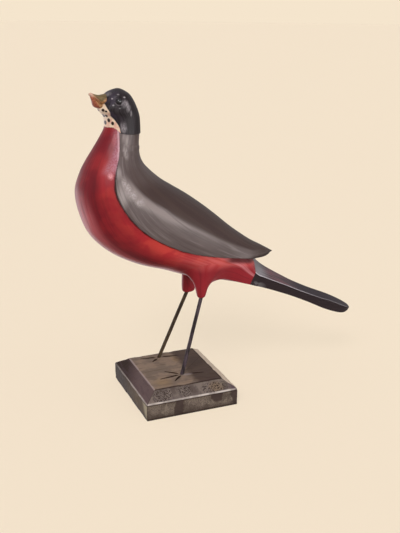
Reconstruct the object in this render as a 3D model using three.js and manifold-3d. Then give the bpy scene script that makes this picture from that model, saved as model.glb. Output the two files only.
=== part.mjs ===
// A whittled robin, painted, standing on two wire legs over a wooden block with a bevelled top.
// Millimetres: +X is where the bird looks, +Y is its left side, +Z is up.
// The origin is the middle of the block's underside.
import * as THREE from "three";
import { LoftGeometry } from "three/addons/geometries/LoftGeometry.js";
import { mergeVertices } from "three/addons/utils/BufferGeometryUtils.js";
import Module from "manifold-3d";

const wasm = await Module();
wasm.setup();

// Driving dimensions

// The block: a slab with upright sides, a sloping bevel all round and a flat top.
const BLOCK = { length: 64, width: 69, side: 11.8, bevelInset: 8.2, bevelRise: 5.6 };
const BLOCK_TOP = BLOCK.side + BLOCK.bevelRise;

// The bird's mid-plane stands a little to its right of the block's middle.
const BIRD_Y = -3;
const SIDES = { left: 1, right: -1 };

// The bird's outline in its mid-plane, as x and z, from the crown down to the tail end. Each cut
// has a front or lower point, a back or upper point, and half the width across. lift is how far
// the folded wings stand proud of the body there, and roof says how far the cut has turned from
// an oval to the tail's blade, with a flat underside, upright edges and a low roof. eaves is the
// height of the blade's eaves, from -1 at the underside to 1 at the ridge.
const CROWN = [35.0, 206.0];
const TAIL_END = [-140.2, 41.5];
const CUTS = [
  { at: "forehead", front: [40.8, 204.5], back: [29.7, 203.8], half: 6.8 },
  { at: "brow", front: [43.8, 202.0], back: [27.0, 200.7], half: 9.4 },
  { at: "eye", front: [45.0, 198.5], back: [25.1, 197.1], half: 10.8 },
  { at: "chin", front: [47.9, 194.3], back: [23.3, 192.7], half: 11.0 },
  { at: "throat", front: [44.4, 189.7], back: [22.3, 188.1], half: 10.5 },
  { at: "collar", front: [44.1, 183.3], back: [22.0, 179.5], half: 10.6 },
  { at: "nape", front: [46.8, 177.7], back: [22.9, 172.8], half: 12.2, lift: -0.6 },
  { at: "neck", front: [51.8, 169.6], back: [22.9, 168.0], half: 15.0, lift: -0.1 },
  { at: "shoulder", front: [56.1, 162.6], back: [21.7, 162.9], half: 18.8, lift: 0.5 },
  { at: "wing front", front: [60.0, 155.0], back: [17.9, 157.8], half: 22.2, lift: 1.1 },
  { at: "breast", front: [63.2, 144.2], back: [9.4, 150.3], half: 25.4, lift: 1.6 },
  { at: "keel", front: [61.3, 130.9], back: [1.1, 144.9], half: 27.2, lift: 1.8 },
  { at: "low breast", front: [55.3, 116.8], back: [-8.2, 139.1], half: 27.8, lift: 1.8 },
  { at: "belly", front: [43.2, 104.8], back: [-19.2, 131.3], half: 27.0, lift: 1.8 },
  { at: "saddle", front: [26.4, 95.6], back: [-29.3, 123.3], half: 25.0, lift: 1.8 },
  { at: "loin", front: [8.6, 89.6], back: [-39.7, 114.6], half: 21.8, lift: 1.8 },
  { at: "vent", front: [-12.7, 81.8], back: [-48.8, 107.8], half: 17.6, lift: 1.8, roof: 0.08 },
  { at: "rump", front: [-34.8, 76.8], back: [-56.6, 102.5], half: 13.4, lift: 2.8, roof: 0.35 },
  { at: "tail root", front: [-56.6, 71.8], back: [-62.1, 86.8], half: 10.4, roof: 1, eaves: 0 },
  { at: "tail neck", front: [-79.9, 62.9], back: [-84.2, 72.2], half: 9.2, roof: 1, eaves: 0.2 },
  { at: "mid tail", front: [-98.5, 54.4], back: [-102.1, 62.8], half: 8.3, roof: 1, eaves: 0.25 },
  { at: "tail blade", front: [-117.3, 45.0], back: [-121.1, 54.3], half: 7.6, roof: 1, eaves: 0.4 },
  { at: "tail tip", front: [-131.9, 40.1], back: [-135.0, 46.6], half: 6.0, roof: 1, eaves: 0.4 },
];

// Past the rump the folded wings run on alone to a point that overhangs the tail.
const WING_START = [33.0, 181.0];
const WING_TIP_CUTS = [
  { at: "wing tips", front: [-52.5, 81.5], back: [-62.8, 99.1], half: 10.3 },
  { at: "wing taper", front: [-61.5, 85.2], back: [-67.5, 96.4], half: 7.2 },
  { at: "wing point", front: [-67.0, 88.2], back: [-70.6, 94.6], half: 4.1 },
  { at: "wing end", front: [-71.0, 90.6], back: [-72.5, 93.4], half: 1.4 },
];
const WING_END = [-73.7, 92.5];

// The side view of the folded wings' lower edge, from the neck round the shoulder to the tip,
// and two corners well clear of the back, which close that view round the wings.
const WING_EDGE = [
  [37.2, 184], [38.5, 172], [43.8, 158.6], [45.2, 148.4], [41.9, 139.2], [35.6, 129.6],
  [26.6, 121], [13.6, 112.8], [0.5, 106.5], [-13.9, 101.8], [-28.8, 98], [-42, 95.2],
  [-51, 93.2], [-59, 91.8], [-66, 91.5], [-71, 91.9], [-76, 92.9],
];
const WING_CLEARANCE = [[-80, 150], [0, 215]];

// How wide the blade's underside is, as a share of its width at the eaves.
const BLADE_UNDERSIDE = 0.9;

// The beak: each half is a short loft from inside the head to the tip.
const UPPER_BEAK = {
  start: [38.0, 199.5],
  cuts: [
    { front: [41.0, 203.2], back: [41.0, 196.0], half: 5.4 },
    { front: [44.4, 203.0], back: [44.6, 196.2], half: 4.7 },
    { front: [47.1, 202.6], back: [47.4, 198.2], half: 3.6 },
    { front: [49.5, 203.1], back: [49.9, 200.3], half: 2.3 },
    { front: [52.1, 204.0], back: [52.5, 202.0], half: 1.2 },
  ],
  end: [53.4, 203.2],
};
const LOWER_BEAK = {
  start: [38.0, 195.5],
  cuts: [
    { front: [41.0, 197.6], back: [41.0, 193.4], half: 4.9 },
    { front: [44.6, 197.4], back: [46.6, 194.4], half: 4.3 },
    { front: [47.2, 198.6], back: [50.6, 195.9], half: 3.2 },
    { front: [49.6, 200.6], back: [51.7, 199.2], half: 2.0 },
    { front: [51.4, 202.0], back: [52.4, 201.4], half: 1.0 },
  ],
  end: [52.4, 202.2],
};

// Each eye is a glass bead, mostly sunk in a socket in the side of the head.
const EYE = { x: 37.4, out: 9.3, z: 199.4, radius: 1.9 };

// The thighs taper down from the belly to the wires. Each tip is an x, a distance out from the
// bird's mid-plane and a z. stout, heel and shin widen the tip in front, the tip behind and the
// front of the thigh. The cuts run from the top down: height above the tip, reach forward and
// back of the leg, half the width across, and how far the middle of the cut has moved in under
// the belly.
const THIGHS = {
  left: { tip: [-16.0, 10.9, 69.1], stout: 1, heel: 1, shin: 1 },
  right: { tip: [-14.5, 10.9, 66.2], stout: 1.25, heel: 2.1, shin: 0.62 },
};
const THIGH_CUTS = [
  { height: 21.5, fore: 7.0, aft: 9.5, half: 5.6, inward: 4.6 },
  { height: 17.0, fore: 11.0, aft: 16.0, half: 6.4, inward: 4.2 },
  { height: 13.4, fore: 7.6, aft: 11.6, half: 5.6, inward: 2.6 },
  { height: 11.4, fore: 6.1, aft: 7.9, half: 4.8, inward: 1.4 },
  { height: 9.5, fore: 5.2, aft: 5.9, half: 4.3, inward: 0.6 },
  { height: 6.8, fore: 4.2, aft: 4.4, half: 3.8, inward: 0.1 },
  { height: 4.3, fore: 3.5, aft: 3.7, half: 3.4, inward: 0 },
  { height: 1.3, fore: 2.7, aft: 2.8, half: 2.6, inward: 0 },
  { height: 0.25, fore: 1.6, aft: 1.6, half: 1.6, inward: 0 },
];
const THIGH_TOP = 23;
// At this height and above, a tip's own widths have gone over to the thigh's.
const STOUT_HEIGHT = 10;
// The cuts tilt more with height, to lie along the belly, which rises towards the breast.
const BELLY_SLOPE = 0.3;
const BELLY_HEIGHT = 17;

// The legs are round wire, set in holes drilled in the thighs and the block.
const WIRE = { radius: 1.25, depth: 8 };
const CLEARANCE = 0.3;
const FEET = { left: [-1.3, 11.1], right: [3.9, -20.1] };

// The toes are V-shaped strokes cut in the block's top, as degrees from +X towards +Y and
// lengths. A stroke starts a little way from the wire and is widest near there.
const TOES = {
  left: [[-39.5, 12.5], [7.3, 16.4], [44.7, 11.6], [170, 14.9]],
  right: [[-8.9, 13.3], [41, 9.0], [172, 14.0]],
};
const TOE = { width: 1.3, depth: 0.6, start: 1.8, widestAt: 0.3, pointed: 0.08 };

// Fineness: points round a cut and the longest step between rows of them, in millimetres.
const BODY_FINENESS = { points: 26, spacing: 6 };
const THIGH_FINENESS = { points: 18, spacing: 6 };
const BEAK_FINENESS = { points: 14, spacing: 3 };
const END_ROWS = [0.1, 0.3, 0.6];
const EDGE_STEPS = 36;
const WIRE_SIDES = 12;
const TOE_STEPS = 5;
const BEAD_SEGMENTS = [12, 8];

// Working helpers

const lerp = THREE.MathUtils.lerp;
const gap = ([ax, az], [bx, bz]) => Math.hypot(ax - bx, az - bz);

// A closed three.js geometry as a solid that can be joined and cut.
function solidOf(geometry) {
  const bare = new THREE.BufferGeometry().copy(geometry);
  bare.deleteAttribute("normal");
  bare.deleteAttribute("uv");
  const merged = mergeVertices(bare);
  return new wasm.Manifold(
    new wasm.Mesh({
      numProp: 3,
      vertProperties: merged.attributes.position.array,
      triVerts: new Uint32Array(merged.index.array),
    }),
  );
}

function geometryOf(solid) {
  const { vertProperties, triVerts } = solid.getMesh();
  const shared = new THREE.BufferGeometry();
  shared.setAttribute("position", new THREE.BufferAttribute(vertProperties, 3));
  shared.setIndex(new THREE.BufferAttribute(triVerts, 1));
  const faceted = shared.toNonIndexed();
  faceted.computeVertexNormals();
  return faceted;
}

// Half of a cut's outline: how far from front to back (-1 to 1) and how far out (0 to 1), for an
// angle that turns from the front, 0, to the back, PI.
const UNDERSIDE_END = Math.PI / 4;
const EAVES_START = (2 * Math.PI) / 3;
function ovalAt(angle) {
  return [-Math.cos(angle), Math.sin(angle)];
}
function bladeAt(angle, eaves) {
  if (angle < UNDERSIDE_END) return [-1, (BLADE_UNDERSIDE * angle) / UNDERSIDE_END];
  if (angle < EAVES_START) {
    const up = (angle - UNDERSIDE_END) / (EAVES_START - UNDERSIDE_END);
    return [lerp(-1, eaves, up), lerp(BLADE_UNDERSIDE, 1, up)];
  }
  const across = (angle - EAVES_START) / (Math.PI - EAVES_START);
  return [lerp(eaves, 1, across), 1 - across];
}

// A carved form from a table of cuts. Its side view is one smooth closed line, down through the
// front points and back up through the back points, and its width follows the same line, so that
// both ends close in a round.
function carve({ start, cuts, end, fineness }) {
  const { points, spacing } = fineness;
  const widthShare = cuts.map((c) => (2 * c.half) / gap(c.front, c.back));
  const at = ([x, z], share) => new THREE.Vector3(x, share, z);
  const line = new THREE.CatmullRomCurve3(
    [
      at(start, widthShare[0]),
      ...cuts.map((c, i) => at(c.front, widthShare[i])),
      at(end, widthShare.at(-1)),
      ...cuts.map((c, i) => at(c.back, widthShare[i])).reverse(),
    ],
    true,
    "catmullrom",
  );
  const last = cuts.length + 1;
  const between = (name, s) => {
    const values = [cuts[0], ...cuts, cuts.at(-1)].map((c) => c[name] ?? 0);
    const i = Math.min(Math.floor(s), last - 1);
    return lerp(values[i], values[i + 1], s - i);
  };

  const rows = [...END_ROWS];
  cuts.slice(1).forEach((next, i) => {
    const step = Math.max(gap(next.front, cuts[i].front), gap(next.back, cuts[i].back));
    const count = Math.ceil(step / spacing);
    for (let j = 0; j < count; j++) rows.push(i + 1 + j / count);
  });
  rows.push(last - 1, ...END_ROWS.map((row) => last - row).reverse());

  const sections = rows.map((s) => {
    const front = line.getPoint(s / (2 * last));
    const back = line.getPoint(1 - s / (2 * last));
    const middle = front.clone().add(back).divideScalar(2);
    const reach = back.clone().sub(front).divideScalar(2);
    const halfWidth = Math.hypot(reach.x, reach.z) * middle.y;
    const roof = between("roof", s);
    const eaves = between("eaves", s);
    const shift = between("shift", s);
    return Array.from({ length: points }, (_, j) => {
      const turn = (2 * Math.PI * j) / points;
      const side = turn <= Math.PI ? SIDES.right : SIDES.left;
      const angle = side === SIDES.right ? turn : 2 * Math.PI - turn;
      const [ovalUp, ovalOut] = ovalAt(angle);
      const [bladeUp, bladeOut] = bladeAt(angle, eaves);
      const up = lerp(ovalUp, bladeUp, roof);
      const out = lerp(ovalOut, bladeOut, roof);
      return new THREE.Vector3(
        middle.x + reach.x * up,
        shift + side * halfWidth * out,
        middle.z + reach.z * up,
      );
    });
  });
  return new LoftGeometry(sections, { capStart: true, capEnd: true });
}

// A round bar between two points.
function bar(from, to, radius) {
  const along = to.clone().sub(from);
  const geometry = new THREE.CylinderGeometry(radius, radius, along.length(), WIRE_SIDES);
  const upright = new THREE.Vector3(0, 1, 0);
  const turn = new THREE.Quaternion().setFromUnitVectors(upright, along.normalize());
  geometry.applyQuaternion(turn);
  return geometry.translate(...from.clone().add(to).divideScalar(2));
}

// Legs

// A wire runs straight from its foot, on the block's top, to the tip of its thigh, and on into
// both by the given depth.
function wire(side, depth, radius) {
  const [x, out, z] = THIGHS[side].tip;
  const foot = new THREE.Vector3(...FEET[side], BLOCK_TOP);
  const hip = new THREE.Vector3(x, BIRD_Y + SIDES[side] * out, z);
  const along = hip.clone().sub(foot).setLength(depth);
  return bar(foot.sub(along), hip.add(along), radius);
}

function wireHole(side) {
  return solidOf(wire(side, WIRE.depth + CLEARANCE, WIRE.radius + CLEARANCE));
}

// Bird, made round its own mid-plane

// A cut's back point, moved towards its front.
function sunkBack({ front, back }, distance) {
  const inward = new THREE.Vector2(...front).sub(new THREE.Vector2(...back));
  return inward.setLength(distance).add(new THREE.Vector2(...back)).toArray();
}

// Under the wings the body's back lies lower, by the wings' thickness.
function body() {
  const cuts = CUTS.map((c) => ({ ...c, back: sunkBack(c, Math.max(c.lift ?? 0, 0)) }));
  const form = { start: CROWN, cuts, end: TAIL_END, fineness: BODY_FINENESS };
  return solidOf(carve(form));
}

// The folded wings: the body's own form grown by their thickness, cut to their side view.
function wings() {
  const grown = CUTS.filter((c) => c.lift !== undefined).map((c) => ({
    front: c.front,
    back: sunkBack(c, Math.max(-c.lift, 0)),
    half: c.half + c.lift,
  }));
  const cuts = [...grown, ...WING_TIP_CUTS];
  const shell = carve({ start: WING_START, cuts, end: WING_END, fineness: BODY_FINENESS });
  const edge = new THREE.SplineCurve(WING_EDGE.map((p) => new THREE.Vector2(...p)));
  const corners = WING_CLEARANCE.map((p) => new THREE.Vector2(...p));
  const outline = new THREE.Shape([...edge.getPoints(EDGE_STEPS), ...corners]);
  const depth = 3 * Math.max(...cuts.map((c) => c.half));
  const sideCut = new THREE.ExtrudeGeometry(outline, { depth, bevelEnabled: false });
  sideCut.rotateX(Math.PI / 2).translate(0, depth / 2, 0);
  return solidOf(shell).intersect(solidOf(sideCut));
}

function thigh(side) {
  const { tip, stout, heel, shin } = THIGHS[side];
  const [x, out, z] = tip;
  const cuts = THIGH_CUTS.map(({ height, fore, aft, half, inward }) => {
    const up = Math.min(height / STOUT_HEIGHT, 1);
    const ahead = fore * lerp(stout, shin, up);
    const behind = aft * lerp(heel, 1, up);
    const slope = BELLY_SLOPE * Math.min(height / BELLY_HEIGHT, 1);
    return {
      front: [x + ahead, z + height + ahead * slope],
      back: [x - behind, z + height - behind * slope],
      half: half * lerp(stout, 1, up),
      shift: SIDES[side] * (out - inward),
    };
  });
  const start = [x, z + THIGH_TOP];
  return solidOf(carve({ start, cuts, end: [x, z], fineness: THIGH_FINENESS }));
}

function bead(side, radius) {
  const ball = new THREE.SphereGeometry(radius, ...BEAD_SEGMENTS);
  ball.rotateX(Math.PI / 2);
  return ball.translate(EYE.x, SIDES[side] * EYE.out, EYE.z);
}

function bird() {
  let solid = body().add(wings());
  for (const half of [UPPER_BEAK, LOWER_BEAK]) {
    solid = solid.add(solidOf(carve({ ...half, fineness: BEAK_FINENESS })));
  }
  for (const side of Object.keys(SIDES)) {
    solid = solid.add(thigh(side));
    solid = solid.subtract(solidOf(bead(side, EYE.radius + CLEARANCE)));
  }
  solid = solid.translate([0, BIRD_Y, 0]);
  for (const side of Object.keys(SIDES)) solid = solid.subtract(wireHole(side));
  return geometryOf(solid);
}

// Block

function slab() {
  const { length, width, side, bevelInset } = BLOCK;
  const ring = (inset, z) => {
    const [x, y] = [length / 2 - inset, width / 2 - inset];
    const corners = [[x, y], [-x, y], [-x, -y], [x, -y]];
    return corners.map((corner) => new THREE.Vector3(...corner, z));
  };
  const rings = [ring(0, 0), ring(0, side), ring(bevelInset, BLOCK_TOP)];
  return new LoftGeometry(rings, { capStart: true, capEnd: true });
}

// The cutter of one toe: a slender spindle, half of it above the block's top.
function toe(side, [degrees, length]) {
  const lean = Math.log(0.5) / Math.log(TOE.widestAt);
  const rings = [];
  for (let i = 0; i <= TOE_STEPS; i++) {
    const t = i / TOE_STEPS;
    const full = Math.max(Math.sin(Math.PI * Math.pow(t, lean)), TOE.pointed);
    const x = lerp(TOE.start, length, t);
    const [y, z] = [(full * TOE.width) / 2, full * TOE.depth];
    const corners = [[y, 0], [0, z], [-y, 0], [0, -z]];
    rings.push(corners.map((corner) => new THREE.Vector3(x, ...corner)));
  }
  const cutter = new LoftGeometry(rings, { capStart: true, capEnd: true });
  cutter.rotateZ(THREE.MathUtils.degToRad(degrees));
  return solidOf(cutter.translate(...FEET[side], BLOCK_TOP));
}

function block() {
  let solid = solidOf(slab());
  for (const side of Object.keys(SIDES)) {
    for (const stroke of TOES[side]) solid = solid.subtract(toe(side, stroke));
    solid = solid.subtract(wireHole(side));
  }
  return geometryOf(solid);
}

// Assembly

const oilPaint = new THREE.MeshStandardMaterial({ color: 0x962330, roughness: 0.35 });
const agedWood = new THREE.MeshStandardMaterial({ color: 0x5f554b, roughness: 0.6 });
const darkGlass = new THREE.MeshStandardMaterial({ color: 0x0c0a0b, roughness: 0.08 });
const ironWire = new THREE.MeshStandardMaterial({
  color: 0x3a3330,
  roughness: 0.5,
  metalness: 0.8,
});

const robin = new THREE.Group();
function place(name, geometry, material, y = 0) {
  const mesh = new THREE.Mesh(geometry, material);
  mesh.name = name;
  mesh.position.y = y;
  robin.add(mesh);
}

place("bird", bird(), oilPaint);
place("base_block", block(), agedWood);
for (const side of Object.keys(SIDES)) {
  place(`leg_${side}`, wire(side, WIRE.depth, WIRE.radius), ironWire.clone());
  place(`eye_${side}`, bead(side, EYE.radius), darkGlass.clone(), BIRD_Y);
}

export default robin;
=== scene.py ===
import math
from collections import namedtuple

import bmesh
import bpy
from mathutils import Matrix, Vector, noise
from mathutils.bvhtree import BVHTree
from mathutils.geometry import intersect_line_line_2d
from mathutils.kdtree import KDTree


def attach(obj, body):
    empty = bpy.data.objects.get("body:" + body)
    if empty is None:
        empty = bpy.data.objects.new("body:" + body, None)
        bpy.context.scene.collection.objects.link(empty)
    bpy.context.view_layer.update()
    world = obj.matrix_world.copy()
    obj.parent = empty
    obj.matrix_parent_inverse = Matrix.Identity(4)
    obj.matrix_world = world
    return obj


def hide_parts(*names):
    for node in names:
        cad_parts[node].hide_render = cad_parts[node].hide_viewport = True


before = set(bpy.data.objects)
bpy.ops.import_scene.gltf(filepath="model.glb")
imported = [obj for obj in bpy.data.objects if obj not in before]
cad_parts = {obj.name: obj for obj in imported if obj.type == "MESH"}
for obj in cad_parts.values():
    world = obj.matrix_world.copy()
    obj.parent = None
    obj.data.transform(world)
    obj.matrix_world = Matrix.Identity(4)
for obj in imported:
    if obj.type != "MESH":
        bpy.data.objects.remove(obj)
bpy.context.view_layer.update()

# Lengths below are in millimetres, in the part's own frame
MM = 0.001
BIRD_Y = -3.0
SIDES = {"left": 1, "right": -1}

# Camera, at the picture's viewing angle
CAMERA_AZIMUTH = math.radians(23.0228)
CAMERA_ELEVATION = math.radians(18.1493)
CAMERA_ROLL = math.radians(0.6)
CAMERA_DISTANCE = 0.53381
CAMERA_AIM = Vector((-0.01839, 0.0, 0.08825))
CAMERA_LENS = 54.03
SENSOR = 36.0


def direction(azimuth, elevation):
    flat = math.cos(elevation)
    return Vector((math.sin(azimuth) * flat, math.cos(azimuth) * flat, math.sin(elevation)))


def facing(forward, roll=0.0):
    right = forward.cross(Vector((0, 0, 1))).normalized()
    up = right.cross(forward)
    turned = math.cos(roll) * right + math.sin(roll) * up
    upright = math.cos(roll) * up - math.sin(roll) * right
    return Matrix((turned, upright, -forward)).transposed().to_4x4()


def make_camera():
    data = bpy.data.cameras.new("camera")
    data.sensor_width = SENSOR
    data.lens = CAMERA_LENS
    data.clip_start = 0.01
    outward = direction(CAMERA_AZIMUTH, CAMERA_ELEVATION)
    camera = bpy.data.objects.new("camera", data)
    place = Matrix.Translation(CAMERA_AIM + CAMERA_DISTANCE * outward)
    camera.matrix_world = place @ facing(-outward, CAMERA_ROLL)
    bpy.context.scene.collection.objects.link(camera)
    bpy.context.scene.camera = camera


make_camera()

# Carved forms: the side view is one smooth closed line through the cuts
Cut = namedtuple("Cut", "front back half lift roof eaves", defaults=(None, 0, 0))
CROWN = (35.0, 206.0)
TAIL_END = (-140.2, 41.5)
CUTS = [
    Cut((40.8, 204.5), (29.7, 203.8), 6.8),
    Cut((43.8, 202.0), (27.0, 200.7), 9.4),
    Cut((45.0, 198.5), (25.1, 197.1), 10.8),
    Cut((47.9, 194.3), (23.3, 192.7), 11.0),
    Cut((44.4, 189.7), (22.3, 188.1), 10.5),
    Cut((44.1, 183.3), (22.0, 179.5), 10.6),
    Cut((46.8, 177.7), (22.9, 172.8), 12.2, -0.6),
    Cut((51.8, 169.6), (22.9, 168.0), 15.0, -0.1),
    Cut((56.1, 162.6), (21.7, 162.9), 18.8, 0.5),
    Cut((60.0, 155.0), (17.9, 157.8), 22.2, 1.1),
    Cut((63.2, 144.2), (9.4, 150.3), 25.4, 1.6),
    Cut((61.3, 130.9), (1.1, 144.9), 27.2, 1.8),
    Cut((55.3, 116.8), (-8.2, 139.1), 27.8, 1.8),
    Cut((43.2, 104.8), (-19.2, 131.3), 27.0, 1.8),
    Cut((26.4, 95.6), (-29.3, 123.3), 25.0, 1.8),
    Cut((8.6, 89.6), (-39.7, 114.6), 21.8, 1.8),
    Cut((-12.7, 81.8), (-48.8, 107.8), 17.6, 1.8, 0.08),
    Cut((-34.8, 76.8), (-56.6, 102.5), 13.4, 2.8, 0.35),
    Cut((-56.6, 71.8), (-62.1, 86.8), 10.4, None, 1, 0),
    Cut((-79.9, 62.9), (-84.2, 72.2), 9.2, None, 1, 0.2),
    Cut((-98.5, 54.4), (-102.1, 62.8), 8.3, None, 1, 0.25),
    Cut((-117.3, 45.0), (-121.1, 54.3), 7.6, None, 1, 0.4),
    Cut((-131.9, 40.1), (-135.0, 46.6), 6.0, None, 1, 0.4),
]
WING_START = (33.0, 181.0)
WING_TIP_CUTS = [
    Cut((-52.5, 81.5), (-62.8, 99.1), 10.3),
    Cut((-61.5, 85.2), (-67.5, 96.4), 7.2),
    Cut((-67.0, 88.2), (-70.6, 94.6), 4.1),
    Cut((-71.0, 90.6), (-72.5, 93.4), 1.4),
]
WING_END = (-73.7, 92.5)
WING_EDGE = [
    (37.2, 184), (38.5, 172), (43.8, 158.6), (45.2, 148.4), (41.9, 139.2), (35.6, 129.6),
    (26.6, 121), (13.6, 112.8), (0.5, 106.5), (-13.9, 101.8), (-28.8, 98), (-42, 95.2),
    (-51, 93.2), (-59, 91.8), (-66, 91.5), (-71, 91.9), (-76, 92.9),
]
UNDERSIDE_END = math.pi / 4
EAVES_START = 2 * math.pi / 3
UNDERSIDE = 0.9


def lerp(a, b, t):
    return a + (b - a) * t


def clamp(value, low=0.0, high=1.0):
    return max(low, min(high, value))


def smooth(low, high, value):
    t = clamp((value - low) / (high - low))
    return t * t * (3 - 2 * t)


def spline(points, t, closed):
    """A Catmull-Rom line through the points, t counting them."""
    i = math.floor(t)
    t -= i

    def at(k):
        if closed:
            return points[k % len(points)]
        return points[clamp(k, 0, len(points) - 1)]

    a, b, c, d = at(i - 1), at(i), at(i + 1), at(i + 2)
    return (2 * b + (c - a) * t + (2 * a - 5 * b + 4 * c - d) * t**2
            + (3 * b - a - 3 * c + d) * t**3) / 2


def oval(angle):
    return -math.cos(angle), math.sin(angle)


def blade(angle, eaves):
    if angle < UNDERSIDE_END:
        return -1, UNDERSIDE * angle / UNDERSIDE_END
    if angle < EAVES_START:
        up = (angle - UNDERSIDE_END) / (EAVES_START - UNDERSIDE_END)
        return lerp(-1, eaves, up), lerp(UNDERSIDE, 1, up)
    across = (angle - EAVES_START) / (math.pi - EAVES_START)
    return lerp(eaves, 1, across), 1 - across


Section = namedtuple("Section", "middle reach half roof eaves")


class Form:
    """A carved form. s counts its cuts, from 0 at its start to last at its end."""

    def __init__(self, start, cuts, end):
        share = [2 * c.half / math.dist(c.front, c.back) for c in cuts]
        fronts = [Vector((*c.front, w)) for c, w in zip(cuts, share)]
        backs = [Vector((*c.back, w)) for c, w in zip(cuts, share)]
        self.points = [Vector((*start, share[0])), *fronts, Vector((*end, share[-1])), *backs[::-1]]
        self.cuts = [cuts[0], *cuts, cuts[-1]]
        self.last = len(cuts) + 1
        middles = [self.points[0], *((a + b) / 2 for a, b in zip(fronts, backs))]
        middles.append(self.points[self.last])
        self.lengths = [0.0]
        for a, b in zip(middles, middles[1:]):
            self.lengths.append(self.lengths[-1] + math.dist(a[:2], b[:2]))

    def between(self, values, s):
        i = min(math.floor(s), self.last - 1)
        return lerp(values[i], values[i + 1], s - i)

    def section(self, s):
        front = spline(self.points, s, True)
        back = spline(self.points, 2 * self.last - s, True)
        middle, reach = (front + back) / 2, (back - front) / 2
        half = math.hypot(reach.x, reach.y) * middle.z
        roof = self.between([c.roof for c in self.cuts], s)
        eaves = self.between([c.eaves for c in self.cuts], s)
        return Section(middle, reach, half, roof, eaves)

    def place(self, s, turn):
        """The point at s, turn going round from the front, 0, over the right side."""
        cut = self.section(s)
        side = SIDES["right"] if turn <= math.pi else SIDES["left"]
        angle = turn if turn <= math.pi else 2 * math.pi - turn
        (up, out), (blade_up, blade_out) = oval(angle), blade(angle, cut.eaves)
        up, out = lerp(up, blade_up, cut.roof), lerp(out, blade_out, cut.roof)
        flat = cut.middle + up * cut.reach
        return Vector((flat.x, side * out * cut.half, flat.y))

    def flow(self, s, turn):
        """Paint runs along this: millimetres down the form, and a circle round it."""
        length = self.between(self.lengths, s)
        return Vector((length, FLOW_RADIUS * math.cos(turn), FLOW_RADIUS * math.sin(turn)))


FLOW_RADIUS = 20.0


def sunk_back(cut, distance):
    inward = (Vector(cut.front) - Vector(cut.back)).normalized()
    return cut._replace(back=tuple(Vector(cut.back) + distance * inward))


def grown(cut, distance):
    inward = (Vector(cut.front) - Vector(cut.back)).normalized()
    front = tuple(Vector(cut.front) + distance * inward)
    back = tuple(Vector(cut.back) - distance * inward)
    return cut._replace(front=front, back=back, half=cut.half + distance)


# Meshes
def wrapped(rows, columns, place):
    """A closed ball of rows and columns, with each of its points put in place."""
    bm = bmesh.new()
    bmesh.ops.create_uvsphere(bm, u_segments=columns, v_segments=rows, radius=1)
    flow = bm.verts.layers.float_vector.new("flow")
    for vert in bm.verts:
        row = round(rows * math.acos(clamp(vert.co.z, -1, 1)) / math.pi)
        column = round(columns * math.atan2(vert.co.y, vert.co.x) / (2 * math.pi)) % columns
        vert.co, vert[flow] = place(row, column)
    bmesh.ops.remove_doubles(bm, verts=bm.verts, dist=1e-4)
    bmesh.ops.recalc_face_normals(bm, faces=bm.faces)
    return bm


def finished(bm, name, finish, slot, replaces, origin=(0, BIRD_Y, 0), crease=None):
    """Turns millimetres to metres and hands the piece to the frame."""
    bmesh.ops.translate(bm, verts=bm.verts, vec=origin)
    bmesh.ops.scale(bm, verts=bm.verts, vec=(MM, MM, MM))
    for face in bm.faces:
        face.smooth = True
    if crease:
        for edge in bm.edges:
            edge.smooth = not edge.is_manifold or edge.calc_face_angle() < crease
    mesh = bpy.data.meshes.new(name)
    bm.to_mesh(mesh)
    bm.free()
    piece = bpy.data.objects.new(name, mesh)
    bpy.context.scene.collection.objects.link(piece)
    mesh.materials.append(finish)
    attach(piece, "root")
    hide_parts(*replaces)
    return piece


# Eyes
EYE = Vector((37.4, 9.3, 199.4))
EYE_RADIUS = 1.9


def sink_at_eye(point, depth, near, far):
    """Moves a point of the head in towards the mid-plane, fully near the eye."""
    away = math.hypot(point.x - EYE.x, point.z - EYE.z)
    if abs(point.y) > EYE.y - 2 * EYE_RADIUS:
        point.y *= 1 - depth * (1 - smooth(near, far, away)) / EYE.y


def make_eye(side):
    bm = bmesh.new()
    bmesh.ops.create_uvsphere(bm, u_segments=48, v_segments=32, radius=EYE_RADIUS)
    bmesh.ops.rotate(bm, verts=bm.verts, matrix=Matrix.Rotation(math.pi / 2, 3, "X"))
    bmesh.ops.translate(bm, verts=bm.verts, vec=(EYE.x, SIDES[side] * EYE.y, EYE.z))
    return bm


# Body
BODY_ROWS, BODY_COLUMNS = 264, 144
NAPE_STEP = 0.4
BODY_EYE_DENT = {"depth": 1.8, "near": 3.6, "far": 6.0}
body_cuts = [sunk_back(c, max(c.lift or 0, 0)) for c in CUTS]
body = Form(CROWN, body_cuts, TAIL_END)


def body_place(row, column):
    s = body.last * row / BODY_ROWS
    turn = 2 * math.pi * column / BODY_COLUMNS
    point = body.place(s, turn)
    back = clamp(-math.cos(turn))
    under_hood = smooth(171, 178, point.z) * (1 - smooth(186, 194, point.z))
    point.x += NAPE_STEP * back * under_hood
    sink_at_eye(point, **BODY_EYE_DENT)
    return point, body.flow(s, turn)


def make_body():
    return wrapped(BODY_ROWS, BODY_COLUMNS, body_place)


# Overlays: the hood and the folded wings lie over the body, with a rim all round
CORNER_STEPS, CHORD_STEPS = 3, 5


def rim_angle(cut, border):
    """Where the border crosses a cut in side view, as an angle from its front."""
    middle, reach = cut.middle.xy, cut.reach.xy
    ups = [-1.0]
    for a, b in zip(border, border[1:]):
        hit = intersect_line_line_2d(middle + reach, middle - reach, a, b)
        if hit:
            ups.append((hit - middle).dot(reach) / reach.length_squared)
    return math.acos(-clamp(max(ups), -1, 1))


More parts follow.
